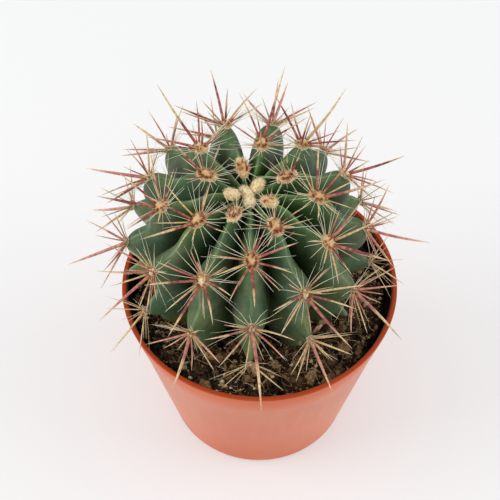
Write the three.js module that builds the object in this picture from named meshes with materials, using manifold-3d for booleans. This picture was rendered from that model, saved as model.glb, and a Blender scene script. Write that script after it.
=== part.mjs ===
// A potted round cactus: a ribbed globe with sprays of spines, rooted in soil, in a nursery pot.
// Millimetres, +Z up. The origin is the middle of the pot's underside, and -Y is the front.
import * as THREE from 'three';
import { mergeVertices } from 'three/addons/utils/BufferGeometryUtils.js';
import Module from 'manifold-3d';

const wasm = await Module();
wasm.setup();

const { PI, abs, cos, exp, hypot, max, min, sin } = Math;
const TURN = 2 * PI;
const radians = THREE.MathUtils.degToRad;
const clearance = 0.3; // between pieces that touch on the real plant

// ---- Pot ----
const potHeight = 77;
const rimRadius = 52.5;
const lipRound = 0.6;
const collarHeight = 14;
const collarStep = 0.4; // how far the collar stands out from the wall, with the same taper
const potBaseRadius = 36.5;
const potBaseEdge = 2.5;
const wallThickness = 1.4;
const lipWidth = wallThickness + collarStep;
const floorThickness = 2;
const potSides = 48;
const drainHoles = 8;
const drainHoleRadius = 4;
const drainRingRadius = 25;
const drainHoleSides = 12;

// ---- Soil ----
const soilLevel = 68;
const soilRelief = 1; // how far its surface swells up and down
const soilSwell = 21; // from one swell to the next
const soilEdge = 0.5; // how far its surface stops short of the pot's wall
const holeGap = 0.45; // round the stem's foot
const soilSides = 40;
const soilRings = 7;

// ---- Stem ----
const ribs = 13;
const stemCentre = new THREE.Vector3(-4.6, 1, 94);
const leanForward = radians(4.9);
const leanSideways = radians(1.2);
const frontRibTurn = radians(1.4);
const stemRadius = 45.4;
const stemRise = 43.5; // from the widest level up to where the crown would be without its dip
const stemSink = 38; // from the widest level down to the foot
const shoulderSquareness = 2.6; // 2 is an ellipse; more is fuller
const footSquareness = 2;
const crownDip = 6.5;
const crownDipWidth = radians(14);
const grooveAtCrown = 0.12; // depth of the grooves, as a share of the rib's reach
const grooveAtSide = 0.39;
const grooveDeepens = radians(26);
const crestRounding = 0.25; // 0 is a sharp fold between straight flanks; more is a rounder crest
const flankAtCrown = 1.2; // above 1 a rib's flanks bulge, and below 1 they hollow to a thin fin
const flankAtSide = 1.9;
const flankAtFoot = 1;
const flankSwells = [radians(35), radians(58)]; // from the crown's flanks to the side's
const flankThins = [radians(60), radians(86)]; // from the side's flanks to the foot's
const notchDepth = 5; // how far a rib's edge dips between its areoles
const chinSag = 1.25; // 1 swells evenly about each areole; more swells below it, as a chin
const footTaper = 6; // areole spacings over which the ribs fade below the oldest areole
const facesPerRib = 6;
const stemRings = 26;
const taprootLength = 24;
const taprootTop = 10;
const taprootTip = 4;
const taprootSunk = 8; // how far its top reaches up into the foot
const taprootSides = 10;

// ---- Areoles, counted from the newest at the crown ----
const areoles = 41;
const woolTufts = 4; // the newest have wool but no spines yet
const spiralStep = 5; // ribs from one areole to the next: the golden angle on 13 ribs
const newestRib = 8;
const stepBack = 8; // areoles from one rib to the next: 5 * 8 is 1 more than 3 rounds of 13
const areoleStep = radians(2.69);
const areoleCrowding = radians(0.0089);
const crownStart = radians(3.3); // how much nearer the crown the areoles start than that
const crownWidth = 6; // areoles over which they spread from it
const padLength = 3;
const padWidth = 2.4;
const padHeight = 1.9;
const tuftSize = 0.58; // of the newest pads, as a share of a grown one
const padShrinking = 0.25; // by the oldest
const padSides = 6;
const padRings = 4;

// ---- Spines: lean from the areole's outward line, turn about it from the downward direction ----
const rosette = [
  { lean: 40, turn: 0, length: 25, radius: 0.6, central: true },
  { lean: 26, turn: 180, length: 16, radius: 0.5, central: true },
  { lean: 56, turn: 60, length: 19, radius: 0.45 },
  { lean: 56, turn: -60, length: 19, radius: 0.45 },
  { lean: 60, turn: 100, length: 18.5, radius: 0.45 },
  { lean: 60, turn: -100, length: 18.5, radius: 0.45 },
  { lean: 64, turn: 29, length: 15, radius: 0.35 },
  { lean: 64, turn: -29, length: 15, radius: 0.35 },
  { lean: 58, turn: 146, length: 14, radius: 0.35 },
  { lean: 58, turn: -146, length: 14, radius: 0.35 },
];
const spineSides = 3;
const youngLength = 0.2; // of the youngest spines, as a share of a grown one
const youngOpening = 0.35; // how far the youngest spray has opened
const grownAfter = 11; // areoles from the crown to the first with full-size spines
const oldAfter = 30; // areoles from the crown to the first whose spines are worn shorter
const oldShortening = 0.25; // by the oldest
const lastCentrals = 39; // areoles from the crown to the last that keeps its central spines
const spineSpread = 9; // degrees that a spine strays from the rosette
const lengthSpread = 0.16;
const tipGap = 2; // kept between the tips of one spray
const spineGap = 0.55; // kept between spines of different sprays
const padGap = 1; // kept between a spine and another spray's pad
const stemGap = 0.8; // kept between a spine and the stem, past its root
const potGap = 0.9; // kept between a spine and the pot or the soil
const spineTries = 400; // each further try strays more
const spineShrinking = 0.4; // how much shorter the last try is
const seed = 20;

// Repeatable random numbers from 0 to 1.
function randomFrom(start) {
  let state = start;
  return () => {
    state = (state + 0x6d2b79f5) | 0;
    let bits = Math.imul(state ^ (state >>> 15), 1 | state);
    bits = (bits + Math.imul(bits ^ (bits >>> 7), 61 | bits)) ^ bits;
    return ((bits ^ (bits >>> 14)) >>> 0) / 4294967296;
  };
}

// ---- Closed meshes ----

// Welds a geometry into one closed shell with its faces pointing out.
function weld(geometry) {
  const bare = geometry.clone();
  for (const name of ['normal', 'uv']) bare.deleteAttribute(name);
  const welded = mergeVertices(bare, 1e-4);
  const { array } = welded.index;
  const corners = [];
  for (let i = 0; i < array.length; i += 3) {
    const [a, b, c] = [array[i], array[i + 1], array[i + 2]];
    if (a !== b && b !== c && c !== a) corners.push(a, b, c);
  }
  welded.setIndex(corners);
  if (signedVolume(welded) < 0) welded.index.array.reverse();
  return welded;
}

function signedVolume(geometry) {
  const { position } = geometry.attributes;
  const [a, b, c] = [0, 1, 2].map(() => new THREE.Vector3());
  let volume = 0;
  for (let i = 0; i < geometry.index.count; i += 3) {
    [a, b, c].forEach((v, k) => v.fromBufferAttribute(position, geometry.index.getX(i + k)));
    volume += a.dot(b.clone().cross(c)) / 6;
  }
  return volume;
}

function solid(geometry) {
  const welded = weld(geometry);
  return new wasm.Manifold(
    new wasm.Mesh({
      numProp: 3,
      vertProperties: new Float32Array(welded.attributes.position.array),
      triVerts: new Uint32Array(welded.index.array),
    }),
  );
}

function geometryOf(manifold) {
  const mesh = manifold.getMesh();
  const geometry = new THREE.BufferGeometry();
  geometry.setAttribute('position', new THREE.BufferAttribute(mesh.vertProperties, 3));
  geometry.setIndex(new THREE.BufferAttribute(mesh.triVerts, 1));
  return geometry;
}

// Moves every vertex of a geometry by a formula.
function reshape(geometry, formula) {
  const { position } = geometry.attributes;
  const point = new THREE.Vector3();
  for (let i = 0; i < position.count; i += 1) {
    formula(point.fromBufferAttribute(position, i));
    position.setXYZ(i, point.x, point.y, point.z);
  }
  return geometry;
}

function piece(name, geometry, colour, roughness) {
  geometry.computeVertexNormals();
  const material = new THREE.MeshStandardMaterial({ color: colour, roughness, metalness: 0 });
  const mesh = new THREE.Mesh(geometry, material);
  mesh.name = name;
  return mesh;
}

// ---- Pot ----

function wallRadius(height) {
  const rise = (height - potBaseEdge) / (potHeight - potBaseEdge);
  return potBaseRadius + (rimRadius - collarStep - potBaseRadius) * rise;
}

function innerRadius(height) {
  return wallRadius(height) - wallThickness;
}

function arc(centreX, centreY, radius, from, to, steps) {
  return Array.from({ length: steps + 1 }, (_, i) => {
    const angle = radians(from + ((to - from) * i) / steps);
    return new THREE.Vector2(centreX + radius * cos(angle), centreY + radius * sin(angle));
  });
}

function makePot() {
  const collarBottom = potHeight - collarHeight;
  const inside = floorThickness + potBaseEdge;
  const profile = [
    new THREE.Vector2(0, 0),
    ...arc(potBaseRadius - potBaseEdge, potBaseEdge, potBaseEdge, -90, 0, 3),
    new THREE.Vector2(wallRadius(collarBottom), collarBottom),
    new THREE.Vector2(wallRadius(collarBottom) + collarStep, collarBottom + collarStep),
    ...arc(rimRadius - lipRound, potHeight - lipRound, lipRound, 0, 90, 2),
    new THREE.Vector2(innerRadius(potHeight), potHeight),
    new THREE.Vector2(innerRadius(inside), inside),
    new THREE.Vector2(innerRadius(inside) - potBaseEdge, floorThickness),
    new THREE.Vector2(0, floorThickness),
  ];
  let body = solid(new THREE.LatheGeometry(profile, potSides).rotateX(PI / 2));
  for (let i = 0; i < drainHoles; i += 1) {
    const depth = 3 * floorThickness;
    const drill = new THREE.CylinderGeometry(drainHoleRadius, drainHoleRadius, depth, drainHoleSides);
    drill.rotateX(PI / 2).translate(drainRingRadius, 0, 0).rotateZ((TURN * (i + 0.5)) / drainHoles);
    body = body.subtract(solid(drill));
  }
  return piece('pot', geometryOf(body), 0xd0846c, 0.5);
}

// ---- Stem ----

const stemTurn = new THREE.Matrix4().makeRotationX(leanForward);
stemTurn.multiply(new THREE.Matrix4().makeRotationY(leanSideways));
const stemPlace = stemTurn.clone().setPosition(stemCentre);
const stemPlaceBack = stemPlace.clone().invert();

// The angle from the crown down to areole number n, which need not be whole.
function areoleAngle(number) {
  const start = crownStart * (1 - exp(-number / crownWidth));
  return areoleStep * number - areoleCrowding * number ** 2 - start;
}

// The areole number at an angle down from the crown: areoleAngle, undone by Newton's method.
function areoleNumber(down) {
  let number = down / areoleStep;
  for (let i = 0; i < 4; i += 1) number -= (areoleAngle(number) - down) / areoleStep;
  return number;
}

// How far the globe's outer form reaches from the stem's centre, at an angle down from the crown.
function crestReach(down) {
  const across = abs(sin(down)) / stemRadius;
  const along = abs(cos(down)) / (cos(down) > 0 ? stemRise : stemSink);
  const squareness = cos(down) > 0 ? shoulderSquareness : footSquareness;
  const plain = (across ** squareness + along ** squareness) ** (-1 / squareness);
  return plain - crownDip * exp(-((down / crownDipWidth) ** 2));
}

// How far the swellings of the ribs have faded, from 0 at the oldest areole to 1 at the foot.
function footFade(down) {
  return THREE.MathUtils.smoothstep(areoleNumber(down), areoles, areoles + footTaper);
}

// How full the ribs' flanks are, as a power of their fall from crest to groove.
function flankPower(down) {
  const { smoothstep } = THREE.MathUtils;
  const swollen = (flankAtSide - flankAtCrown) * smoothstep(down, ...flankSwells);
  return flankAtCrown + swollen + (flankAtFoot - flankAtSide) * smoothstep(down, ...flankThins);
}

// How far the ribbed surface reaches, at an angle down from the crown and round the stem.
function stemReach(down, round) {
  const fromFront = ((round - frontRibTurn) / TURN) * ribs;
  const rib = (Math.round(fromFront) + ribs) % ribs;
  const share = 2 * abs(fromFront - Math.round(fromFront)); // 0 on a crest, 1 in a groove
  const rounded = max(hypot(share, crestRounding) - crestRounding, 0);
  const fall = (rounded / (hypot(1, crestRounding) - crestRounding)) ** flankPower(down);
  const fullness = 1 - exp(-((down / grooveDeepens) ** 2));
  const depth = grooveAtCrown + (grooveAtSide - grooveAtCrown) * fullness;
  const firstAreole = 1 + (((rib - newestRib + ribs) * stepBack) % ribs);
  const phase = (areoleNumber(down) - firstAreole) / ribs;
  const wave = (1 - cos(TURN * (phase - Math.floor(phase)) ** chinSag)) / 2;
  const notch = notchDepth * fullness * max(wave, footFade(down));
  return crestReach(down) * (1 - depth * fall) - notch * (1 - fall);
}

// A point of the stem's own frame, where round = 0 is the front and grows towards +X.
function stemPoint(reach, down, round) {
  return new THREE.Vector3(
    reach * sin(down) * sin(round),
    -reach * sin(down) * cos(round),
    reach * cos(down),
  );
}

function anglesOf(point) {
  const down = Math.atan2(hypot(point.x, point.y), point.z);
  return { down, round: Math.atan2(point.x, -point.y) };
}

// A ball whose every vertex is moved out to the given reach, in the stem's place.
function stemBall(sides, rings, reachAt) {
  const ball = new THREE.SphereGeometry(1, sides, rings).rotateX(PI / 2);
  reshape(ball.rotateZ(frontRibTurn), (point) => {
    const { down, round } = anglesOf(point);
    point.copy(stemPoint(reachAt(down, round), down, round));
  });
  return ball.applyMatrix4(stemPlace);
}

function taproot(extra) {
  const length = taprootLength + extra;
  const cone = new THREE.CylinderGeometry(taprootTop + extra, taprootTip + extra, length, taprootSides);
  cone.rotateX(PI / 2).translate(0, 0, taprootSunk - stemSink - length / 2);
  return solid(cone.applyMatrix4(stemPlace));
}

function stemSolid(extra) {
  const ball = stemBall(ribs * facesPerRib, stemRings, (down, round) => stemReach(down, round) + extra);
  return solid(ball).add(taproot(extra));
}

// ---- Soil ----

// The height of the soil's surface, which swells in two directions that cross askew.
function soilTop(x, y) {
  const [u, v] = [(TURN * x) / soilSwell, (TURN * y) / soilSwell];
  return soilLevel + (soilRelief * (sin(u + 1) * cos(v) + sin(0.6 * u + 1.7 * v))) / 2;
}

function makeSoil() {
  const base = floorThickness + clearance;
  const edgeBase = floorThickness + potBaseEdge + clearance;
  const side = (height) => innerRadius(height) - clearance;
  const profile = [
    new THREE.Vector2(0, base),
    new THREE.Vector2(side(edgeBase) - potBaseEdge - clearance, base),
    new THREE.Vector2(side(edgeBase), edgeBase),
    new THREE.Vector2(side(soilLevel - lipWidth), soilLevel - lipWidth),
  ];
  for (let ring = soilRings; ring >= 0; ring -= 1) {
    profile.push(new THREE.Vector2(((side(soilLevel) - soilEdge) * ring) / soilRings, soilLevel));
  }
  const lump = new THREE.LatheGeometry(profile, soilSides).rotateX(PI / 2);
  reshape(lump, (point) => {
    if (point.z > soilLevel - 0.1) point.z = soilTop(point.x, point.y);
  });
  // The stem's foot stands in a plain round hole, a little wider than its faces are flat.
  const foot = (down) => crestReach(down) - notchDepth * footFade(down);
  const hole = stemBall(soilSides, stemRings, (down) => foot(down) + holeGap);
  const dug = solid(lump).subtract(solid(hole).add(taproot(clearance)));
  return piece('soil', geometryOf(dug), 0x3a2a1e, 0.95);
}

// ---- Areoles and spines ----

// Where areole number n sits: its pad's centre, and the directions out from the rib and down it.
function areole(number) {
  const down = areoleAngle(number);
  const rib = (newestRib + spiralStep * (number - 1)) % ribs;
  const round = frontRibTurn + (TURN * rib) / ribs;
  const crest = (angle) => stemPoint(crestReach(angle), angle, round);
  const nudge = radians(1);
  const along = crest(down + nudge).sub(crest(down - nudge)).normalize();
  const sideways = new THREE.Vector3(cos(round), sin(round), 0);
  const out = sideways.clone().cross(along).normalize();
  if (out.dot(crest(down)) < 0) out.negate();
  const place = (direction) => direction.clone().transformDirection(stemPlace);
  return {
    number,
    centre: crest(down).applyMatrix4(stemPlace),
    out: place(out),
    down: place(along),
    sideways: place(sideways),
  };
}

function spineDirection(spot, lean, turn) {
  const tangent = spot.down.clone().multiplyScalar(cos(turn)).addScaledVector(spot.sideways, sin(turn));
  return tangent.multiplyScalar(sin(lean)).addScaledVector(spot.out, cos(lean)).normalize();
}

// The least distance between two straight spines.
function gapBetween(p, q) {
  const d1 = p.tip.clone().sub(p.root);
  const d2 = q.tip.clone().sub(q.root);
  const r = p.root.clone().sub(q.root);
  const [a, e, f, c, b] = [d1.dot(d1), d2.dot(d2), d2.dot(r), d1.dot(r), d1.dot(d2)];
  const clamp = (value) => min(max(value, 0), 1);
  const bend = a * e - b * b;
  let s = bend > 1e-9 ? clamp((b * f - c * e) / bend) : 0;
  const t = clamp((b * s + f) / e);
  s = clamp((b * t - c) / a);
  return p.root.clone().addScaledVector(d1, s).distanceTo(q.root.clone().addScaledVector(d2, t));
}

// Whether a spine passes clear of the stem, the soil and the pot, past its root.
function clearOfSolids(spine) {
  const steps = 14;
  for (let i = 2; i <= steps; i += 1) {
    const point = spine.root.clone().lerp(spine.tip, i / steps);
    const fromAxis = hypot(point.x, point.y);
    if (point.z < potHeight + potGap) {
      if (fromAxis > rimRadius - lipWidth - potGap && fromAxis < rimRadius + potGap) return false;
      if (fromAxis < rimRadius && point.z < soilTop(point.x, point.y) + potGap) return false;
    }
    const local = point.applyMatrix4(stemPlaceBack);
    const { down, round } = anglesOf(local);
    if (local.length() < stemReach(down, round) + stemGap) return false;
  }
  return true;
}

// Whether a spine passes clear of the pads of the other sprays.
function clearOfPads(spine, spots) {
  return spots.every((spot) => {
    const pad = { root: spot.centre, tip: spot.top };
    return spot === spine.spot || gapBetween(spine, pad) > padLength + padGap;
  });
}

// Whether a spine passes clear of those grown before it.
function clearOfSpines(spine, grown) {
  return grown.every((other) => {
    if (other.spot === spine.spot) return other.tip.distanceTo(spine.tip) > tipGap;
    return gapBetween(spine, other) > spine.radius + other.radius + spineGap;
  });
}

// Draws the spines of all areoles, each tried again and again until it passes clear of the rest.
function growSpines(spots) {
  const random = randomFrom(seed);
  const spread = () => random() + random() + random() - 1.5;
  const grown = [];
  for (const kind of rosette) {
    for (const spot of spots.slice(woolTufts, kind.central ? lastCentrals : areoles)) {
      const growth = min((spot.number - woolTufts) / (grownAfter - woolTufts), 1);
      const size = youngLength + (1 - youngLength) * growth ** 1.5;
      const wear = 1 - (oldShortening * max(0, spot.number - oldAfter)) / (areoles - oldAfter);
      const opening = youngOpening + (1 - youngOpening) * growth;
      const length = kind.length * size * wear * (1 + lengthSpread * spread());
      for (let tries = 0; tries < spineTries; tries += 1) {
        const stray = radians(spineSpread * (1 + tries / 25));
        const lean = radians(kind.lean) * opening + stray * spread();
        const turn = radians(kind.turn) + 1.5 * stray * spread();
        const reach = length * (1 - (spineShrinking * tries) / spineTries);
        const tip = spot.centre.clone().addScaledVector(spineDirection(spot, lean, turn), reach);
        const spine = { spot, root: spot.centre, tip, radius: kind.radius };
        if (clearOfPads(spine, spots) && clearOfSolids(spine) && clearOfSpines(spine, grown)) {
          grown.push(spine);
          break;
        }
      }
    }
  }
  return grown;
}

function spineSolid(spine) {
  const along = spine.tip.clone().sub(spine.root);
  const length = along.length();
  const cone = new THREE.ConeGeometry(spine.radius, length, spineSides).translate(0, length / 2, 0);
  const turn = new THREE.Quaternion().setFromUnitVectors(new THREE.Vector3(0, 1, 0), along.normalize());
  cone.applyQuaternion(turn).translate(spine.root.x, spine.root.y, spine.root.z);
  return solid(cone);
}

function padSolid(spot, size) {
  const pad = new THREE.SphereGeometry(size, padSides, padRings).scale(padWidth, padLength, padHeight);
  const axes = new THREE.Matrix4().makeBasis(spot.sideways, spot.down, spot.out);
  return solid(pad.applyMatrix4(axes.setPosition(spot.centre)));
}

// An areole's pad with its spray of spines, seated on the rib's edge.
function makeAreole(spot, spines, seat) {
  const size = spot.number <= woolTufts ? tuftSize : 1 - padShrinking * (spot.number / areoles);
  let spray = padSolid(spot, size);
  for (const spine of spines.filter((one) => one.spot === spot)) spray = spray.add(spineSolid(spine));
  const name = `areole_${String(spot.number).padStart(2, '0')}`;
  const colour = new THREE.Color(0xd9a25e).lerp(new THREE.Color(0xb5705c), spot.number / areoles);
  return piece(name, geometryOf(spray.subtract(seat)), colour, 0.6);
}

const spots = Array.from({ length: areoles }, (_, i) => areole(i + 1));
for (const spot of spots) spot.top = spot.centre.clone().addScaledVector(spot.out, padHeight);
const spines = growSpines(spots);
const seat = stemSolid(clearance);

const plant = new THREE.Group();
plant.add(makePot(), makeSoil(), piece('stem', geometryOf(stemSolid(0)), 0x3d5c45, 0.55));
for (const spot of spots) plant.add(makeAreole(spot, spines, seat));

export default plant;
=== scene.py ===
# %% [markdown]
# # A round cactus in a nursery pot
#
# This lesson dresses a measured model of a small potted cactus. The model, called the frame, already
# holds the pot, the soil, the ribbed stem and one spray of spines for each areole, as plain faceted
# solids. Each of them is replaced here by a finer piece that keeps its place and its form. The first
# cell loads the frame, and gives the box that each of its parts fills. Nothing may grow out of that
# box.

# %% Load the frame
import random
from math import atan2, cos, exp, floor, hypot, pi, radians, sin, sqrt, tau

import bmesh
import bpy
from mathutils import Matrix, Vector, noise


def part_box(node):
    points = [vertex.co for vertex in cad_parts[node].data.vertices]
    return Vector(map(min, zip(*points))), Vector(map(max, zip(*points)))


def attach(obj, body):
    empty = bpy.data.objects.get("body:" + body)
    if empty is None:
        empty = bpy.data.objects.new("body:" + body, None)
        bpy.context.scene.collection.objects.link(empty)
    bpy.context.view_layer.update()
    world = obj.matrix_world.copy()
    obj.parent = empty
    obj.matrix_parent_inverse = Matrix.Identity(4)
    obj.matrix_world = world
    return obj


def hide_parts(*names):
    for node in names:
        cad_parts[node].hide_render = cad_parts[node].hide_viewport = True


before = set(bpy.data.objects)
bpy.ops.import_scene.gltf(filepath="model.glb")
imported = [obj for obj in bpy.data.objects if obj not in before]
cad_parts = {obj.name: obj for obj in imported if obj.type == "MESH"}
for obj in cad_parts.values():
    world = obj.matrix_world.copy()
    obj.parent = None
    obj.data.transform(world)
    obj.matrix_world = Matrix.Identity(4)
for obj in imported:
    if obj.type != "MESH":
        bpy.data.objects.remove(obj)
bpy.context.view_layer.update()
mm = 0.001

# %% [markdown]
# ## Camera
#
# The reference picture looks down on the plant from the front, a little over 50 degrees above the
# horizon, with a long lens. The camera was found by fitting the outline of the pot's rim, which is a
# true circle of known size. The lens is given for a 36 mm wide sensor and a square picture.

# %% Place the camera
camera_place = Vector((-3.64, -292.6, 485.6)) * mm
camera_elevation = radians(53.03)
lens_length = 94.69


def placed(name, data):
    """An object with that data, in the scene."""
    made = bpy.data.objects.new(name, data)
    bpy.context.scene.collection.objects.link(made)
    return made


camera = placed("camera", bpy.data.cameras.new("camera"))
camera.data.lens = lens_length
camera.data.sensor_width = 36
camera.location = camera_place
camera.rotation_euler = (pi / 2 - camera_elevation, 0, 0)
bpy.context.scene.camera = camera
print("The camera stands", round(camera_place.length / mm), "mm from the foot of the pot")

# %% [markdown]
# ## Light
#
# The plant stands in soft white light from all round, as in a light tent, with a big softbox on each
# side of it. So the world is an even near-white, and two large square lamps stand left and right, the
# left one a little stronger. Their broad reflections pale the sides of the pot, and its front stays
# deeper in colour. The Standard view transform keeps the white floor white.

# %% Light the scene
tent_colour = (0.99, 0.995, 1.0, 1)
tent_strength = 0.72
lamp_colour = (1, 0.99, 0.97)
lamp_size = 700 * mm
lamp_aim = Vector((0, 0, 90 * mm))

bpy.context.scene.view_settings.view_transform = "Standard"
world = bpy.data.worlds.new("light_tent")
bpy.context.scene.world = world
world.use_nodes = True
world.node_tree.nodes["Background"].inputs["Color"].default_value = tent_colour
world.node_tree.nodes["Background"].inputs["Strength"].default_value = tent_strength


def soft_lamp(name, place, watts):
    """A square lamp that faces the plant."""
    lamp = bpy.data.lights.new(name, "AREA")
    lamp.size = lamp_size
    lamp.energy = watts
    lamp.color = lamp_colour
    holder = placed(name, lamp)
    holder.location = place
    holder.rotation_euler = (lamp_aim - holder.location).to_track_quat("-Z", "Y").to_euler()
    print(name, "gives", watts, "watts")


soft_lamp("left_softbox", Vector((-0.9, -0.15, 0.65)), 5.0)
soft_lamp("right_softbox", Vector((0.9, -0.1, 0.6)), 3.6)

# %% [markdown]
# ## Small helpers
#
# Colours are written as they look on a screen, as hex values, and one function turns them into the
# linear numbers that a renderer works with. A material is a small net of nodes: one function adds a
# node with its settings and links, and another starts a material from the values of its main shader.
# A link may name a node alone, which then means the first of its outputs that is in use. Two more lay
# one colour over another and give a colour lighter and darker places, as nearly every finish needs.

# %% Colours, nodes and materials
of_colour = {"data_type": "RGBA"}
multiplied = {"data_type": "RGBA", "blend_type": "MULTIPLY"}
product = {"operation": "MULTIPLY"}
eased = {"interpolation_type": "SMOOTHSTEP"}


def linear(hex_colour):
    """An sRGB colour such as "#D0846C" as linear red, green, blue and alpha."""
    values = [int(hex_colour[i : i + 2], 16) / 255 for i in (1, 3, 5)]
    return (*[v / 12.92 if v <= 0.04045 else ((v + 0.055) / 1.055) ** 2.4 for v in values], 1)


def in_use(sockets, name=None):
    """The first socket in use, of that name if one is given."""
    return next(socket for socket in sockets if socket.enabled and name in (None, socket.name))


def wire(node, links):
    """Gives a node's inputs, by name or number, their values or the outputs that they read."""
    for name, value in links.items():
        socket = node.inputs[name] if isinstance(name, int) else in_use(node.inputs, name)
        if isinstance(value, bpy.types.Node):
            value = in_use(value.outputs)
        if isinstance(value, bpy.types.NodeSocket):
            node.id_data.links.new(value, socket)
        else:
            socket.default_value = value


def add(material, kind, links=None, settings=None):
    """Adds a shader node with its links and settings. Stops are the colours of a ramp."""
    made = material.node_tree.nodes.new("ShaderNode" + kind)
    for name, value in (settings or {}).items():
        if name == "stops":
            ramp = made.color_ramp
            while len(ramp.elements) < len(value):
                ramp.elements.new(0.5)
            for element, (place, colour) in zip(ramp.elements, value):
                element.position = place
                element.color = linear(colour)
        else:
            setattr(made, name, value)
    wire(made, links or {})
    return made


def surface(name, values):
    """A new material, and its Principled BSDF with those values."""
    material = bpy.data.materials.new(name)
    material.use_nodes = True
    shader = material.node_tree.nodes["Principled BSDF"]
    wire(shader, values)
    return material, shader


def kept(material, attribute):
    """The three values that a piece's vertices keep under that name, as outputs."""
    stored = add(material, "Attribute", settings={"attribute_name": attribute})
    parts = add(material, "SeparateXYZ", {"Vector": stored.outputs["Vector"]})
    return [parts.outputs[axis] for axis in "XYZ"]


def washed(material, over, colour, value, low, high, most=1, how=None, only=None):
    """Lays a colour over another where a value runs from low to high, and only by a second value."""
    amount_range = {"From Min": low, "From Max": high, "To Max": most}
    amount = add(material, "MapRange", {"Value": value, **amount_range}, how)
    if only is not None:
        amount = add(material, "Math", {0: amount, 1: only}, product)
    return add(material, "Mix", {"Factor": amount, "A": over, "B": colour}, of_colour)


def toned(material, colour, value, low, high, dark, light):
    """Multiplies a colour by a tone that goes from dark to light as a value runs from low to high."""
    tone_range = {"From Min": low, "From Max": high, "To Min": dark, "To Max": light}
    tone = add(material, "MapRange", {"Value": value, **tone_range})
    return add(material, "Mix", {"Factor": 1.0, "A": colour, "B": tone}, multiplied)


def tell(material):
    print("The material", material.name, "has", len(material.node_tree.nodes), "nodes")


print("A mid grey is", round(linear("#808080")[0], 3), "in linear light")

# %% [markdown]
# Every piece starts as a bmesh, Blender's mesh for editing. When it is done it becomes an object at
# the origin with smooth shading. It rides on the plant's one body and hides the frame's nodes that it
# stands for.

# %% From a bmesh to a piece


def mesh_from(name, bm):
    """Turns a bmesh into a mesh."""
    mesh = bpy.data.meshes.new(name)
    bm.to_mesh(mesh)
    bm.free()
    return mesh


def finished(name, bm, materials, slot, *nodes):
    """Makes a piece from a bmesh: it rides on the plant's one body and stands for the CAD nodes named."""
    for face in bm.faces:
        face.smooth = True
    print(name, "has", len(bm.faces), "faces")
    piece = placed(name, mesh_from(name, bm))
    for material in materials:
        piece.data.materials.append(material)
    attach(piece, "root")
    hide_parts(*nodes)
    return piece


# %% [markdown]
# ## The floor
#
# A plain pale table. It isn't part of the plant. It lies a hair's breadth under the pot, because two
# faces in one plane flicker where a ray meets both.

# %% Floor
floor_gap = 0.1 * mm
floor_reach = 3

floor_bm = bmesh.new()
below_pot = Matrix.Translation((0, 0, -floor_gap))
bmesh.ops.create_grid(floor_bm, x_segments=1, y_segments=1, size=floor_reach, matrix=below_pot)
# Matt white-lacquered board. It glows a little, as a table does that stands in a light tent.
table, table_shader = surface("matt_lacquered_board", {"Base Color": linear("#C6C7C8"), "Roughness": 0.9})
wire(table_shader, {"Emission Color": (1, 1, 1, 1), "Emission Strength": 0.34})
floor_piece = placed("floor", mesh_from("floor", floor_bm))
floor_piece.data.materials.append(table)
print("The floor reaches", floor_reach, "m to each side")

# %% [markdown]
# ## The pot
#
# A nursery pot is injection-moulded from thin polypropylene: a tapered cup with a plain collar that
# stands out from the wall by less than half a millimetre, and holes in its floor. All of it but the
# holes is round, so its half section is drawn once, up the outside, over the lip and down the inside,
# and spun about the axis. The corners are arcs, because a mould has no sharp edges.

# %% Draw the pot's half section
rim_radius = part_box("pot")[1].x
pot_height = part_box("pot")[1].z
collar_height = 14 * mm
collar_step = 0.4 * mm
collar_curve = ((0, -0.15), (0.08, 0), (0.32, 0.5), (0.4, 0.7))  # out and up, mm, wall to collar
base_radius = 36.5 * mm
base_edge = 2.5 * mm
wall_thickness = 1.4 * mm
floor_thickness = 2 * mm
soft_corner = 0.5 * mm
# Painted shade with peat stain: below this depth the inner wall is painted almost black.
shade_and_stain_depth = 2 * mm


def wall_radius(height):
    rise = (height - base_edge) / (pot_height - base_edge)
    return base_radius + (rim_radius - collar_step - base_radius) * rise


def inner_radius(height):
    return wall_radius(height) - wall_thickness


def arc(centre, radius, start, end, steps):
    """Points on an arc in the half section, as (distance from the axis, height)."""
    angles = [radians(start + (end - start) * i / steps) for i in range(steps + 1)]
    return [(centre[0] + radius * cos(a), centre[1] + radius * sin(a)) for a in angles]


collar_bottom = pot_height - collar_height
inside_base = floor_thickness + base_edge
inside_lip = rim_radius - wall_thickness - collar_step
shade_and_stain_top = pot_height - shade_and_stain_depth
pot_section = [
    (0, 0),
    *arc((base_radius - base_edge, base_edge), base_edge, -90, 0, 6),
    *((wall_radius(collar_bottom) + out * mm, collar_bottom + up * mm) for out, up in collar_curve),
    *arc((rim_radius - soft_corner, pot_height - soft_corner), soft_corner, 0, 90, 4),
    *arc((inside_lip + soft_corner, pot_height - soft_corner), soft_corner, 90, 180, 4),
    (inner_radius(shade_and_stain_top), shade_and_stain_top),
    (inner_radius(inside_base), inside_base),
    (inner_radius(inside_base) - base_edge, floor_thickness),
    (0, floor_thickness),
]
print("The pot's rim is", round(2 * rim_radius / mm, 1), "mm across")

# %% [markdown]
# The spin merges its last ring with its first, and the doubles on the axis are merged after it. Each
# vertex keeps whether it is on the inside, for the painted shade and peat stain in the plastic's
# material. The faces deeper than that dark band's edge get a second material, a film of peat painted
# almost black as shade.

# %% Spin the pot
pot_facets = 180
most = 0.9  # of a thickness: past it, a place counts as on the far side of a wall


def spun(points, facets):
    """A bmesh turned about the upright axis from a half section that starts and ends on it."""
    bm = bmesh.new()
    verts = [bm.verts.new((x, 0, z)) for x, z in points]
    edges = [bm.edges.new(pair) for pair in zip(verts, verts[1:])]
    bmesh.ops.spin(
        bm, geom=verts + edges, cent=(0, 0, 0), axis=(0, 0, 1), angle=tau, steps=facets, use_merge=True
    )
    bmesh.ops.remove_doubles(bm, verts=bm.verts, dist=0.001 * mm)
    bmesh.ops.recalc_face_normals(bm, faces=bm.faces)
    return bm


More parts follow.
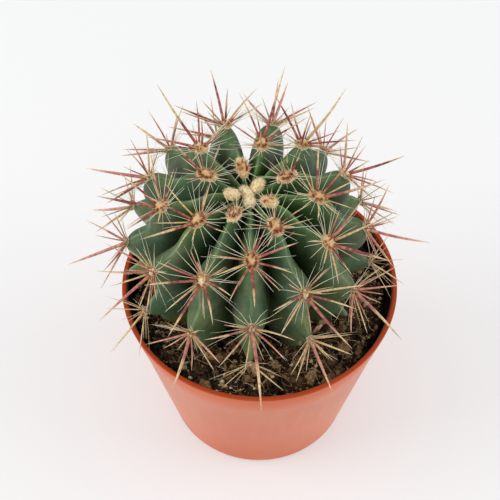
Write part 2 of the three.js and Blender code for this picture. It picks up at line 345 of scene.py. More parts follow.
pot_bm = spun(pot_section, pot_facets)
inside_layer = pot_bm.verts.layers.float.new("inside")
for vert in pot_bm.verts:
    away = hypot(vert.co.x, vert.co.y)
    over_floor = vert.co.z > most * floor_thickness
    vert[inside_layer] = over_floor and away < wall_radius(vert.co.z) - most * wall_thickness
for face in pot_bm.faces:
    deep = max(vert.co.z for vert in face.verts) < shade_and_stain_top + 0.1 * mm
    face.material_index = deep and all(vert[inside_layer] for vert in face.verts)
print("The spun pot has", len(pot_bm.faces), "faces")

# %% [markdown]
# The plastic's colour drifts slowly over the wall. A little light passes through it, so the lip, which
# is lit from both sides, glows a deeper orange; that glow is painted into the lip's colour. Inside,
# the wall is painted almost black up to just under the lip, as painted shade over a peat stain, and
# the plastic's own colour fades into that dark band there.

# %% The plastic's colours
# Polypropylene dyed terracotta and moulded against lightly blasted steel. That makes it satin and not
# glossy, and it picks up the white of the room as a pale sheen towards its edges.
plastic_values = {"Roughness": 0.36, "IOR": 1.49, "Specular IOR Level": 0.14}
plastic_sheen = {"Sheen Weight": 0.34, "Sheen Roughness": 0.24, "Sheen Tint": linear("#FFEADA")}
plastic, plastic_shader = surface("terracotta_polypropylene", plastic_values | plastic_sheen)
wall_stops = [(0.3, "#CD6640"), (0.5, "#D16B44"), (0.7, "#D5714B")]
# Painted glow: the lip's deeper orange stands in for light that passes through the thin plastic.
painted_glow_orange = linear("#AE4520")
# Painted shade with peat stain: the inner wall's near-black up to just under the lip.
shade_and_stain_brown = linear("#1C0E07")
lip_glow = (pot_height - 1.1 * mm, pot_height - 0.3 * mm)
shade_and_stain_fade = (pot_height + 0.2 * mm, pot_height - 0.9 * mm)
smear_reach = 1.6 * mm

place = add(plastic, "TexCoord").outputs["Object"]
height = add(plastic, "SeparateXYZ", {"Vector": place}).outputs["Z"]
drift = add(plastic, "TexNoise", {"Vector": place, "Scale": 1 / (35.7 * mm), "Detail": 3})
wall_colour = add(plastic, "ValToRGB", {"Fac": drift}, {"stops": wall_stops})
coloured = washed(plastic, wall_colour, painted_glow_orange, height, *lip_glow)
inside = add(plastic, "Attribute", settings={"attribute_name": "inside"}).outputs["Fac"]
smears = add(plastic, "TexNoise", {"Vector": place, "Scale": 1 / (4.55 * mm), "Detail": 4})
smeared = add(plastic, "Math", {0: smears, 1: smear_reach, 2: height}, {"operation": "MULTIPLY_ADD"})
shaded_and_stained = washed(plastic, coloured, shade_and_stain_brown, smeared, *shade_and_stain_fade, only=inside)
wire(plastic_shader, {"Base Color": shaded_and_stained})
tell(plastic)

# %% [markdown]
# The steel's blasting leaves a fine grain on the plastic, and faint flow marks run up from the base,
# where the plastic was injected. Both go into one bump, and the marks vary the shine as well. The
# grain is finer than a pixel, and is drawn about 0.4 mm wide to show.

# %% The plastic's grain
flow_marks = (260, 260, 22)  # per metre: marks nearly 4 mm wide and 45 mm long
blasted = add(plastic, "TexNoise", {"Vector": place, "Scale": 1 / (0.385 * mm), "Detail": 2})
stretched = add(plastic, "Mapping", {"Vector": place, "Scale": flow_marks})
flow = add(plastic, "TexNoise", {"Vector": stretched, "Scale": 1, "Detail": 2})
marks = add(plastic, "Math", {0: flow, 1: 0.6, 2: blasted}, {"operation": "MULTIPLY_ADD"})
grain = add(plastic, "Bump", {"Height": marks, "Strength": 0.12, "Distance": 0.1 * mm})
shine = add(plastic, "MapRange", {"Value": flow, "To Min": 0.31, "To Max": 0.42})
wire(plastic_shader, {"Normal": grain, "Roughness": shine})

# A film of peat dust on the inner wall, painted almost black: painted shade deep in the pot over a
# peat stain. It has no shine at all, so the wall goes dark.
film, film_shader = surface("shaded_peat_film", {"Roughness": 0.95, "IOR": 1.45, "Specular IOR Level": 0.1})
shaded_film_stops = [(0.35, "#120904"), (0.55, "#22130A"), (0.75, "#3E2817")]
film_place = add(film, "TexCoord").outputs["Object"]
film_noise = add(film, "TexNoise", {"Vector": film_place, "Scale": 1 / (3.33 * mm), "Detail": 4})
shaded_film_colour = add(film, "ValToRGB", {"Fac": film_noise}, {"stops": shaded_film_stops})
wire(film_shader, {"Base Color": shaded_film_colour})
tell(plastic)
tell(film)

# %% [markdown]
# The drain holes are cut with a Boolean: short rods on a ring are taken away from the pot's floor. The
# level faces are then shaded flat, because smooth shading would smear the light across the floor's
# long thin faces.

# %% Cut the drain holes and finish the pot
drain_holes = 8
drain_radius = 4 * mm
drain_ring = 25 * mm
drill_length = 3 * floor_thickness
level = 0.999  # of a face's normal: how upright it is on a level face

pot = finished("nursery_pot", pot_bm, [plastic, film], "pot_plastic", "pot")
drill_bm = bmesh.new()
for hole in range(drain_holes):
    turn = tau * (hole + 0.5) / drain_holes
    bmesh.ops.create_cone(
        drill_bm,
        cap_ends=True,
        segments=32,
        radius1=drain_radius,
        radius2=drain_radius,
        depth=drill_length,
        matrix=Matrix.Translation((drain_ring * cos(turn), drain_ring * sin(turn), 0)),
    )
drill = placed("drill", mesh_from("drill", drill_bm))
cut = pot.modifiers.new("drain_holes", "BOOLEAN")
cut.operation, cut.solver, cut.object = "DIFFERENCE", "EXACT", drill
bpy.context.view_layer.objects.active = pot
with bpy.context.temp_override(object=pot, active_object=pot, selected_objects=[pot]):
    bpy.ops.object.modifier_apply(modifier="drain_holes")
bpy.data.objects.remove(drill)
for face in pot.data.polygons:
    face.use_smooth = abs(face.normal.z) < level
print("With its holes, the pot has", len(pot.data.polygons), "faces")

# %% [markdown]
# ## The stem's form
#
# The stem is a flattened globe with 13 ribs. These are the sizes that the frame's stem was made with,
# but for the foot: there the ribs thin to slimmer fins here than in the frame, as on the plant.

# %% Measures of the stem
ribs = 13
stem_centre = Vector((-4.6, 1, 94)) * mm
stem_turn = Matrix.Rotation(radians(4.9), 4, "X") @ Matrix.Rotation(radians(1.2), 4, "Y")
stem_place = Matrix.Translation(stem_centre) @ stem_turn
front_rib_turn = radians(1.4)
stem_radius = 45.4 * mm
stem_rise = 43.5 * mm
stem_sink = 38 * mm
squareness = 2.6  # of the upper half's outline; 2 is a plain ellipse, as below
crown_dip = 6.5 * mm
crown_dip_width = radians(14)
groove_at_crown = 0.12
groove_at_side = 0.39
groove_deepens = radians(26)
crest_rounding = 0.25
flank_at_crown = 1.2
flank_at_side = 1.9
flank_at_foot = 0.6
flank_swells = (radians(35), radians(58))
flank_thins = (radians(60), radians(86))
notch_depth = 5 * mm
chin_sag = 1.25
foot_taper = 6
areoles = 41
wool_tufts = 4
spiral_step = 5
newest_rib = 8
step_back = 8
areole_step = radians(2.69)
areole_crowding = radians(0.0089)
crown_start = radians(3.3)
crown_width = 6
print("The stem is", round(2 * stem_radius / mm), "mm across")

# %% [markdown]
# The form is a formula: how far the surface reaches from the stem's centre in any direction. The outer
# form is a squared ellipse with a dip at the crown. The ribs fall away from their edges to the
# grooves, and each edge swells out at its areoles, the cushions that carry the spines, with a chin
# below each. The areoles are numbered from the newest at the crown: each next one sits five ribs round
# and a small step further down, which is the spiral that most cacti grow in.

# %% The formula
guess_rounds = 4


def areole_angle(number):
    """The angle from the crown down to an areole; the number need not be whole."""
    start = crown_start * (1 - exp(-number / crown_width))
    return areole_step * number - areole_crowding * number**2 - start


def areole_number(down):
    """The areole number at an angle down from the crown: a first guess, put right in a few rounds."""
    number = down / areole_step
    for _ in range(guess_rounds):
        number -= (areole_angle(number) - down) / areole_step
    return number


def smooth(value, low, high):
    """From 0 at low to 1 at high, with a soft start and end."""
    share = min(max((value - low) / (high - low), 0), 1)
    return share * share * (3 - 2 * share)


def crest_reach(down):
    across = abs(sin(down)) / stem_radius
    along = abs(cos(down)) / (stem_rise if cos(down) > 0 else stem_sink)
    power = squareness if cos(down) > 0 else 2
    plain = (across**power + along**power) ** (-1 / power)
    return plain - crown_dip * exp(-((down / crown_dip_width) ** 2))


def rib_shape(down, around):
    """How far out the stem reaches in a direction, and the share from a rib's crest to its groove."""
    from_front = (around - front_rib_turn) / tau * ribs
    rib = (floor(from_front + 0.5) + ribs) % ribs
    share = 2 * abs(from_front - floor(from_front + 0.5))
    fall = (hypot(share, crest_rounding) - crest_rounding) / (hypot(1, crest_rounding) - crest_rounding)
    flank = flank_at_crown + (flank_at_side - flank_at_crown) * smooth(down, *flank_swells)
    fall = max(fall, 0) ** (flank + (flank_at_foot - flank_at_side) * smooth(down, *flank_thins))
    fullness = 1 - exp(-((down / groove_deepens) ** 2))
    depth = groove_at_crown + (groove_at_side - groove_at_crown) * fullness
    number = areole_number(down)
    first = 1 + ((rib - newest_rib + ribs) * step_back) % ribs
    phase = (number - first) / ribs
    wave = (1 - cos(tau * (phase - floor(phase)) ** chin_sag)) / 2
    wave = max(wave, smooth(number, areoles, areoles + foot_taper))
    notch = notch_depth * fullness * wave
    return crest_reach(down) * (1 - depth * fall) - notch * (1 - fall), share


def stem_point(reach, down, around):
    """A point in the stem's own frame, where around is 0 at the front and grows towards +X."""
    across = reach * sin(down)
    return Vector((across * sin(around), -across * cos(around), reach * cos(down)))


print("The oldest areole lies", round(areole_angle(areoles) / radians(1)), "degrees down")

# %% [markdown]
# The mesh starts as a fine UV sphere, whose poles suit a ribbed globe, and every vertex is moved out
# to the formula's reach. A slow noise makes the ribs a little uneven, as grown ones are. Two values
# are kept on each vertex for the skin's material: the share from crest to groove, and the age, from 0
# at the crown to 1 at the foot.

# %% Grow the stem
faces_per_rib = 28
stem_rings = 230
unevenness = 0.35 * mm
swelling_size = 14 * mm
even_crown = (0.1, 0.5)  # radians down over which the unevenness sets in

stem_bm = bmesh.new()
bmesh.ops.create_uvsphere(stem_bm, u_segments=ribs * faces_per_rib, v_segments=stem_rings, radius=1)
rib_layer = stem_bm.verts.layers.float_vector.new("rib")
for vert in stem_bm.verts:
    down = atan2(hypot(vert.co.x, vert.co.y), vert.co.z)
    around = atan2(vert.co.x, -vert.co.y)
    reach, share = rib_shape(down, around)
    uneven = noise.noise(vert.co * reach / swelling_size) * unevenness * smooth(down, *even_crown)
    vert.co = stem_point(reach + uneven, down, around)
    vert[rib_layer] = (share, areole_number(down) / areoles, 0)
stem_bm.transform(stem_place)
print("The stem has", len(stem_bm.verts), "vertices")

# %% [markdown]
# The skin's green is laid in layers, as a painter would. The ground runs from a light green on the
# ribs' edges to a dark one on their flanks, which is painted light and painted shade, and from fresh
# at the crown to greyer at the foot. Over it lie patches of the wax and of a bluer green, and a finer
# mottle of light and dark.

# %% The skin's ground
# Cuticle, the plant's own waxed skin: a thick green film under a thin greyish bloom, which rubs off
# where things touch it. The wax gives a broad soft shine, so the roughness is middling.
skin, skin_shader = surface("waxy_cuticle", {"Roughness": 0.5, "IOR": 1.45, "Specular IOR Level": 0.35})
# Painted light and shade: the crests' lighter green and the flanks' darker green stand in for light on the
# edges and shade on the flanks.
lit_crest_stops = [(0.0, "#5C8636"), (0.2, "#577A3E"), (0.6, "#526B42"), (1.0, "#52673E")]
shaded_flank_stops = [(0.0, "#30601A"), (0.2, "#305021"), (0.65, "#344A2A"), (1.0, "#384A2A")]
bloom_grey = linear("#686B56")
blue_green = linear("#33604A")
rough_noise = {"Detail": 5, "Roughness": 0.6}
fine_noise = {"Detail": 4, "Roughness": 0.65}

place = add(skin, "TexCoord").outputs["Object"]
share, age = kept(skin, "rib")[:2]
crest = add(skin, "ValToRGB", {"Fac": age}, {"stops": lit_crest_stops})
flank = add(skin, "ValToRGB", {"Fac": age}, {"stops": shaded_flank_stops})
lit_and_shaded_greens = washed(skin, crest, flank, share, 0.02, 0.7, how=eased)
patches = add(skin, "TexNoise", {"Vector": place, "Scale": 1 / (18.2 * mm), **rough_noise})
bloomed = washed(skin, lit_and_shaded_greens, bloom_grey, patches, 0.42, 0.66, 0.62)
teal_noise = add(skin, "TexNoise", {"Vector": place, "Scale": 1 / (26.3 * mm), "Detail": 3})
tealed = washed(skin, bloomed, blue_green, teal_noise, 0.48, 0.62, 0.45)
mottle = add(skin, "TexNoise", {"Vector": place, "Scale": 1 / (4.76 * mm), **fine_noise})
mottled = toned(skin, tealed, mottle, 0.3, 0.7, 0.7, 1.28)
tell(skin)

# %% [markdown]
# Deep in the grooves the skin is painted almost black, as painted shade where little light gets in.
# Old skin near the soil turns olive and corky in spots. A pale line runs down each rib's edge, broken
# here and there, where the old areoles once joined. The pores are finer than a pixel, and are drawn
# at 0.7 mm to show.

# %% Grooves, olive spots, edge lines and pores
# Painted shade: near-black laid into the grooves.
painted_groove_shade = linear("#1E240E")
cork_olive = linear("#7E7B35")
line_grey = linear("#94A27E")

groove_shaded = washed(skin, mottled, painted_groove_shade, share, 0.55, 1.0, 0.9, eased)
olive_noise = add(skin, "TexNoise", {"Vector": place, "Scale": 1 / (20 * mm), "Detail": 5})
low_down = add(skin, "MapRange", {"Value": age, "From Min": 0.6, "From Max": 1.0})
corked = washed(skin, groove_shaded, cork_olive, olive_noise, 0.5, 0.66, 0.85, only=low_down)
line_noise = add(skin, "TexNoise", {"Vector": place, "Scale": 1 / (5.56 * mm), "Detail": 3})
line_whole = add(skin, "MapRange", {"Value": line_noise, "From Min": 0.35, "From Max": 0.65})
lined = washed(skin, corked, line_grey, share, 0.08, 0.01, 0.75, eased, line_whole)
pores = add(skin, "TexNoise", {"Vector": place, "Scale": 1 / (0.667 * mm), "Detail": 3})
skin_bump = add(skin, "Bump", {"Height": pores, "Strength": 0.25, "Distance": 0.12 * mm})
wax_shine = add(skin, "MapRange", {"Value": patches, "To Min": 0.4, "To Max": 0.62})
wire(skin_shader, {"Base Color": lined, "Normal": skin_bump, "Roughness": wax_shine})
tell(skin)
finished("cactus_stem", stem_bm, [skin], "cactus_skin", "stem")

# %% [markdown]
# ## Rods for spines, bristles and hairs
#
# A spine, a bristle and a hair of wool are all thin tapered rods, so each is a copy of a straight rod
# of unit size that is bent along a path. The rods are made once, with few sides, because hundreds
# of copies are needed. Each vertex of a copy keeps how far along the rod it lies, the rod's own tint
# and the age of its areole, which the materials read.

# %% Make the rods
wool_index, spine_index, bristle_index = range(3)


def rod(name, sides, steps, material_index):
    """A closed rod of radius 1 from z = 0 to z = 1, as a mesh."""
    bm = bmesh.new()
    half_up = Matrix.Translation((0, 0, 0.5))
    bmesh.ops.create_cone(
        bm, cap_ends=True, segments=sides, radius1=1, radius2=1, depth=1, matrix=half_up
    )
    upright = [edge for edge in bm.edges if abs(edge.verts[0].co.z - edge.verts[1].co.z) > 0.5]
    bmesh.ops.subdivide_edges(bm, edges=upright, cuts=steps - 1, use_grid_fill=True)
    for face in bm.faces:
        face.material_index = material_index
    print(name, "has", len(bm.faces), "faces")
    return mesh_from(name, bm)


spine_rod = rod("spine_rod", 7, 11, spine_index)
bristle_rod = rod("bristle_rod", 4, 8, bristle_index)
hair_rod = rod("hair_rod", 3, 3, wool_index)


def copied(bm, template):
    """Adds a copy of a mesh to bm and gives its vertices."""
    count = len(bm.verts)
    bm.from_mesh(template)
    bm.verts.ensure_lookup_table()
    return bm.verts[count:]


def grow_rod(bm, layer, template, root, tip, bend, thickness, notes):
    """Adds a rod from root to tip, moved aside by bend(t) and thickened to thickness(t), t from 0 to 1."""
    along = (tip - root).normalized()
    side = along.orthogonal().normalized()
    other = along.cross(side)
    for vert in copied(bm, template):
        x, y, t = vert.co
        radius = thickness(t)
        vert.co = root.lerp(tip, t) + bend(t) + side * (x * radius) + other * (y * radius)
        vert[layer] = (t, *notes)


# %% [markdown]
# ## The areoles' places
#
# An areole sits on a rib's edge. Its own directions are out from the stem, down along the rib, and
# sideways round the stem, so what grows from it can be given by how far it leans from the outward
# line and which way it turns.

# %% Find the areoles


class Areole:
    """Where an areole sits, and its own directions."""

    def __init__(self, number):
        down = areole_angle(number)
        rib = (newest_rib + spiral_step * (number - 1)) % ribs
        around = front_rib_turn + tau * rib / ribs
        nudge = radians(1)
        ahead, behind = (stem_point(crest_reach(down + n), down + n, around) for n in (nudge, -nudge))
        centre = stem_point(crest_reach(down), down, around)
        along = (ahead - behind).normalized()
        sideways = Vector((cos(around), sin(around), 0))
        out = sideways.cross(along).normalized()
        if out.dot(centre) < 0:
            out.negate()
        self.name = f"areole_{number:02d}"
        self.number = number
        self.is_tuft = number <= wool_tufts
        self.centre = stem_place @ centre
        self.out, self.down, self.sideways = (
            (stem_turn.to_3x3() @ v).normalized() for v in (out, along, sideways)
        )

    def direction(self, lean, turn):
        flat = self.down * cos(turn) + self.sideways * sin(turn)
        return flat * sin(lean) + self.out * cos(lean)

    def point(self, local):
        """A point given in the areole's own directions, in the plant's frame."""
        return self.centre + self.sideways * local.x + self.down * local.y + self.out * local.z


spots = [Areole(n + 1) for n in range(areoles)]
print("The areoles are", len(spots))

# %% [markdown]
# The spines' tips are read from the frame: in a spray's solid, a tip is a corner that stands further
# out than all its neighbours. The frame's triangles are loose, so a copy of them is merged first.

# %% Find the tips of the spines
cushion_reach = 3.6 * mm  # corners nearer than this belong to the cushion


def spine_tips(spot):
    """The tips of the frame's spines in a spray, the longest spine first."""
    bm = bmesh.new()
    bm.from_mesh(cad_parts[spot.name].data)
    bmesh.ops.remove_doubles(bm, verts=bm.verts, dist=0.01 * mm)
    tips = []
    for vert in bm.verts:
        reach = (vert.co - spot.centre).length
        near = [(edge.other_vert(vert).co - spot.centre).length for edge in vert.link_edges]
        if reach > cushion_reach and all(reach > other for other in near):
            tips.append(vert.co.copy())
    bm.free()
    return sorted(tips, key=lambda tip: -(tip - spot.centre).length)


print("The frame's spines are", sum(len(spine_tips(spot)) for spot in spots))

# %% [markdown]
# ## The spines' horn
#
# A spine is dark maroon where it leaves the wool. Some spines turn to straw all at once halfway,
# others fade through salmon, and some are straw almost from the root: the rod's tint picks one of the
# three. Old spines have weathered paler. Faint rings cross them, one for each day's growth, and pale
# pink patches mottle them as a painted highlight, the gloss along their lit sides. Both are finer
# than a pixel, and are drawn about a millimetre wide to show.

# %% Horn of the spines
# Horn: dead, hard and smooth, grown from the root up in layers. It has a low even gloss.
horn, horn_shader = surface("spine_horn", {"Roughness": 0.45, "IOR": 1.55, "Specular IOR Level": 0.4})
banded_stops = [
    (0, "#6E351C"),
    (0.08, "#A55234"),
    (0.16, "#963E3E"),
    (0.42, "#76262E"),
    (0.5, "#C8A678"),
    (0.8, "#D8C294"),
    (1, "#C4AA7E"),
]
faded_stops = [
    (0, "#8A5730"),
    (0.09, "#C18A58"),
    (0.17, "#984240"),
    (0.42, "#B05A52"),
    (0.65, "#C48A6E"),
    (0.85, "#DABB96"),
    (1, "#D6BC98"),
]
straw_stops = [(0, "#7A4C28"), (0.1, "#C09A66"), (0.5, "#D0B683"), (1, "#DCCAA0")]
weathered_pink = linear("#DCA48A")
# Painted highlight: pale pink patches stand in for the gloss along the spines' lit sides.
painted_highlight_pink = linear("#D0A084")
band_range = {"From Min": 0.0, "From Max": 0.32, "To Min": 0.6, "To Max": 1.25}

place = add(horn, "TexCoord").outputs["Object"]
along, tint, age = kept(horn, "growth")
band_scale = add(horn, "MapRange", {"Value": tint, **band_range})
band_place = add(horn, "Math", {0: along, 1: band_scale}, product)
banded = add(horn, "ValToRGB", {"Fac": band_place}, {"stops": banded_stops})
faded = add(horn, "ValToRGB", {"Fac": along}, {"stops": faded_stops})
straw = add(horn, "ValToRGB", {"Fac": along}, {"stops": straw_stops})
two = washed(horn, banded, faded, tint, 0.32, 0.4)
weathered = washed(horn, two, weathered_pink, age, 0.45, 1.0, 0.5)
three = washed(horn, weathered, straw, tint, 0.62, 0.8)
rings = add(horn, "TexNoise", {"Vector": place, "Scale": 1 / (1 * mm), "Detail": 2})
ringed = toned(horn, three, rings, 0.3, 0.7, 0.65, 1.4)
highlight_mottle = add(horn, "TexNoise", {"Vector": place, "Scale": 1 / (1.54 * mm), "Detail": 3})
highlighted_horn = washed(horn, ringed, painted_highlight_pink, highlight_mottle, 0.5, 0.64, 0.5)
wire(horn_shader, {"Base Color": highlighted_horn})
tell(horn)

# %% [markdown]
# ## Bristles and wool
#
# A bristle is a much finer spine, golden at its root and yellower on old areoles. Wool is cream at the
# crown and weathers to a pinkish grey on the old cushions. The tint on its vertices turns it golden,
# and then a dark rusty brown where it crowds round a spine.

# %% Bristles and wool
# A bristle is horn so thin that light passes through it, so it looks nearly white.
bristle, bristle_shader = surface("white_bristle", {"Roughness": 0.5, "IOR": 1.5})
pale_stops = [(0.0, "#D9C593"), (0.25, "#F2EBCF"), (1.0, "#F7F3E2")]
old_yellow = linear("#DCCB9A")

along, _, age = kept(bristle, "growth")
pale = add(bristle, "ValToRGB", {"Fac": along}, {"stops": pale_stops})
yellowed = washed(bristle, pale, old_yellow, age, 0, 1, 0.6)
wire(bristle_shader, {"Base Color": yellowed})
tell(bristle)

# Felt of short plant hairs. It is fully matt, and its loose ends catch the light as a soft sheen. Its
# hairs are far finer than a pixel, so its grain is drawn at 0.7 mm.
wool_values = {"Roughness": 0.95, "IOR": 1.5, "Specular IOR Level": 0.2}
wool_sheen = {"Sheen Weight": 0.5, "Sheen Roughness": 0.6}
wool, wool_shader = surface("areole_wool", wool_values | wool_sheen)
cream_stops = [
    (0.0, "#FFECC0"),
    (0.11, "#FFE8B2"),
    (0.14, "#FCE2AE"),
    (0.4, "#F4D8A4"),
    (0.6, "#E9D2B0"),
    (1.0, "#E8D6C4"),
]
felt_golden = linear("#D8984C")
felt_rust = linear("#64290F")

place = add(wool, "TexCoord").outputs["Object"]
_, tint, age = kept(wool, "growth")
cream = add(wool, "ValToRGB", {"Fac": age}, {"stops": cream_stops})
felt = add(wool, "TexNoise", {"Vector": place, "Scale": 1 / (0.714 * mm), "Detail": 3})
felted = toned(wool, cream, felt, 0.35, 0.65, 0.78, 1.12)
gilded = washed(wool, felted, felt_golden, tint, 0.2, 0.6, 0.75)
rusted = washed(wool, gilded, felt_rust, tint, 0.6, 0.85)
felt_bump = add(wool, "Bump", {"Height": felt, "Strength": 0.7, "Distance": 0.5 * mm})
wire(wool_shader, {"Base Color": rusted, "Normal": felt_bump})
tell(wool)

# %% [markdown]
# ## The sprays
#
# Each areole becomes one piece: a felted cushion covered in short hairs, the strong spines, and the
# fine bristles round them. The cushion is a lumpy ball, long and golden while it is young, and worn
# down with age. Its wool is dark round the spines' roots. The newest areoles are pale tufts of wool
# without spines, whose hairs are combed away from the crown.

# %% The cushion's size and colour
pad_across = 2.2 * mm
pad_along = 2.6 * mm
young_pad_extra = 1.0 * mm
pad_height = 1.9 * mm
worn_pad = 0.62
last_pad = 0.6
tuft_size = 1.06
root_place = Vector((0.85, 0.85, 0.5))  # of a cushion's half sizes: where the spines leave it
dark_spot = 0.8 * mm
gilded_heights = (0.3 * mm, 1.3 * mm)
# Ages are areole numbers, from the crown down.
young_ages = (9, 24)
golden_ages = (14, 22)
worn_ages = (15, 32)
last_ages = (37, 40)


def pad_axes(spot):
    """The half sizes of an areole's cushion: across the rib, along it, and out from it."""
    if spot.is_tuft:
        return Vector((0.92 * pad_across, 1.1 * pad_along, pad_height)) * tuft_size
    worn = 1 - (1 - worn_pad) * smooth(spot.number, *worn_ages)
    worn *= 1 - (1 - last_pad) * smooth(spot.number, *last_ages)
    young = 1 - smooth(spot.number, *young_ages)
    return Vector((pad_across, pad_along + young_pad_extra * young, pad_height)) * worn


def spine_root(spot, tip):
    """Where a spine leaves its cushion: off the middle, on the side that it leans to."""
    towards = (tip - spot.centre).normalized()
    lean = Vector((towards.dot(spot.sideways), towards.dot(spot.down), 1))
    return lean * root_place * pad_axes(spot)


def brownness(local, roots, golden):
    """How brown the wool is at a point of a cushion: golden on top, dark round the spines' roots."""
    if not roots:
        return 0
    nearest = min((local - root).length for root in roots)
    top = 0.5 * golden * smooth(local.z, *gilded_heights)
    return top + 0.7 * exp(-((nearest / dark_spot) ** 2))


print("A grown cushion's half sizes are", [round(v / mm, 1) for v in pad_axes(spots[wool_tufts])], "mm")

# %% [markdown]
# The cushion is an icosphere, pushed in and out by noise. Hairs start all over it, most of them low
# down on a cushion and higher up on a tuft, and each strays a little from the straight way out.

# %% Cushions of wool
pad_hairs = 300
tuft_hairs = 420
tuft_comb = 0.9
hair_lengths = (0.6 * mm, 1.3 * mm)
hair_widths = (0.06 * mm, 0.1 * mm)
hair_bend = 0.3
hair_depth = 0.92  # of a cushion's half sizes: where the hairs start


def shaken(dice, most):
    """A small step in a random direction."""
    return Vector([dice.uniform(-most, most) for _ in range(3)])


def add_pad(bm, layer, spot, tips, dice):
    """A lumpy felted cushion with hairs."""
    size = pad_axes(spot)
    old = spot.number / areoles
    golden = 1 - smooth(spot.number, *golden_ages)
    roots = [spine_root(spot, tip) for tip in tips]
    bmesh.ops.create_icosphere(bm, subdivisions=4, radius=1)
    for vert in bm.verts:
        lump = 1 + 0.25 * noise.noise(vert.co * 2.2 + Vector((spot.number, 0, 0)))
        lump += 0.12 * noise.noise(vert.co * 6 + Vector((0, spot.number, 0)))
        local = vert.co * size * lump
        vert.co = spot.point(local)
        vert[layer] = (0, brownness(local, roots, golden), old)
    rise = (0.2, 0.7) if spot.is_tuft else (0, 0.45)
    stray = 0.45 if spot.is_tuft else 0.6
    comb = Vector((0, tuft_comb if spot.is_tuft else 0, 0))
    for _ in range(tuft_hairs if spot.is_tuft else pad_hairs):
        upward = abs(dice.gauss(*rise))
        out = Vector((dice.gauss(0, 1), dice.gauss(0, 1), upward)).normalized()
        way = (out + comb + shaken(dice, stray)).normalized()
        length = dice.uniform(*hair_lengths) * (1.1 - 0.3 * old)
        bend = shaken(dice, hair_bend) * length
        start = out * size * hair_depth
        root, tip = spot.point(start), spot.point(start + way * length)
        bow = spot.point(bend) - spot.centre
        width = dice.uniform(*hair_widths) * (0.75 if spot.is_tuft else 1)
        brown = brownness(start, roots, golden) * dice.uniform(0.3, 1.0)
        taper = lambda t: width * (1.05 - t)
        grow_rod(bm, layer, hair_rod, root, tip, lambda t: bow * (t * t), taper, (brown, old))


print("A cushion has", pad_hairs, "hairs and a tuft has", tuft_hairs)

# %% [markdown]
# The strong spines follow the frame's spines from root to tip, with a slight bow. The longest of an
# areole is its stout central spine and the next one is nearly as stout. Most young spines are banded,
# and most of the thin ones and the oldest are straw.

# %% Strong spines
central_width = 0.6 * mm
central_lengths = (2 * mm, 16 * mm)
second_width = 0.48 * mm
second_lengths = (2 * mm, 20 * mm)
radial_widths = (0.2 * mm, 0.4 * mm)
radial_lengths = (10 * mm, 20 * mm)
most_bow = 0.03
# The rest are areole numbers, from the crown down, but for the count of stout spines.
slim_until = (8, 16)
slim_again = (36, 39)
stout_spines = 3
banded_until = 14
mixed_until = 26
straw_from = 35
all_straw_from = 38


def spine_width(rank, length):
    """Half a spine's width at its root. The longest of an areole is the stout central one."""
    if rank == 0:
        return central_width * smooth(length, *central_lengths)
    thin, thick = radial_widths
    width = thin + (thick - thin) * smooth(length, *radial_lengths)
    return max(width, second_width * smooth(length, *second_lengths)) if rank == 1 else width


def spine_tint(spot, rank, dice):
    """Which of the horn's three colourings a spine has: below a third banded, then faded, then straw."""
    draw = dice.random()
    stout = rank < stout_spines
    if spot.number >= straw_from:
        return 0.5 if rank == 0 and spot.number < all_straw_from else 1
    if spot.number < banded_until:
        return 0.45 * draw if stout else draw**0.6
    if spot.number < mixed_until:
        return draw**1.3 if stout else draw**0.8
    return 0.7 * draw if stout else draw**0.5


def add_spine(bm, layer, spot, rank, tip, dice):
    """One strong spine: it leaves the cushion off its centre, and bows a little."""
    towards = tip - spot.centre
    length = towards.length
    root = spot.point(spine_root(spot, tip))
    across = towards.orthogonal().normalized()
    across.rotate(Matrix.Rotation(dice.uniform(0, tau), 3, towards))
    bow = across * length * dice.uniform(0, most_bow)
    slimness = 1 - 0.2 * (1 - smooth(spot.number, *slim_until))
    slimness -= 0.45 * smooth(spot.number, *slim_again)
    width = spine_width(rank, length) * dice.uniform(0.9, 1.1) * slimness
    tint = spine_tint(spot, rank, dice)
    notes = (tint, spot.number / areoles)
    taper = lambda t: width * (1 + 0.2 * exp(-((t / 0.07) ** 2)) - 0.3 * t - 0.66 * t**4)
    grow_rod(bm, layer, spine_rod, root, tip, lambda t: bow * sin(pi * t), taper, notes)


print("A grown central spine is", round(2 * spine_width(0, 25 * mm) / mm, 1), "mm thick")

# %% [markdown]
# The bristles are too fine for the frame. They stand round the spines in a fan that lies mostly
# upwards and to the sides. Young ones are short and straight, old ones long and wavy, and the oldest
# areoles have shed many of theirs.

# %% Fine bristles
bristle_count = 20
fan = radians(168)
bristle_reach = (8 * mm, 15.5 * mm)
bristle_widths = (0.1 * mm, 0.16 * mm)
bristle_leans = (56, 82)  # degrees from the outward line
old_ages = (12, 34)  # areole numbers, as in the next two
first_shed = (24, 30)
last_shed = (33, 38)


